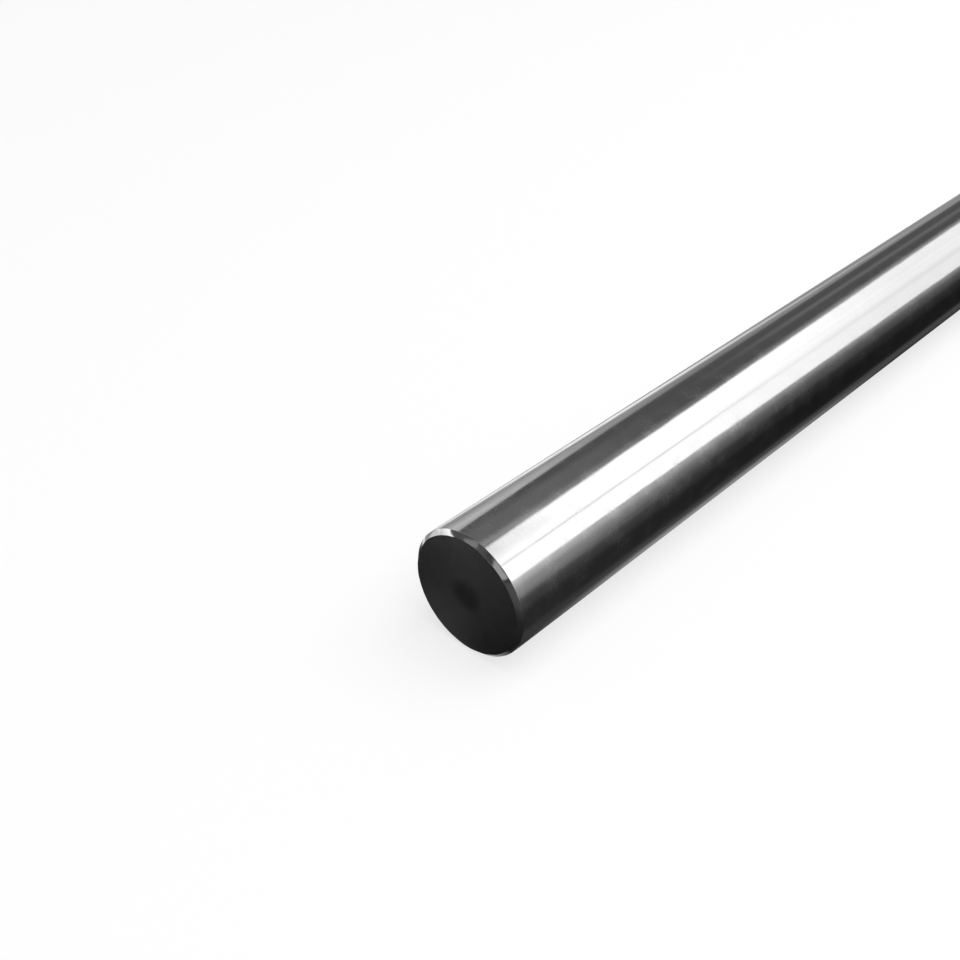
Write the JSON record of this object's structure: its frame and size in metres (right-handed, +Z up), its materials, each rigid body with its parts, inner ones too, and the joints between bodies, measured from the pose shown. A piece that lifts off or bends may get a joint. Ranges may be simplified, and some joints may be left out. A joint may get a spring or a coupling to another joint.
{
  "type": "round bar",
  "caption": "Straight solid round bar of polished titanium with flat ends, each with a narrow chamfer: metal stock for turning, drilling and machining.",
  "frame": {"origin": "middle of the line along which the bar rests on a level floor, below the middle of its length", "axes": "+X along the bar, +Z up from the floor, +Y level and square to the bar; the bar's own axis lies one radius above the floor"},
  "size_m": [1, 0.03, 0.03],
  "materials": {
    "titanium": "polished"
  },
  "bodies": {
    "root": {"round_bar": "titanium"}
  },
  "joints": []
}
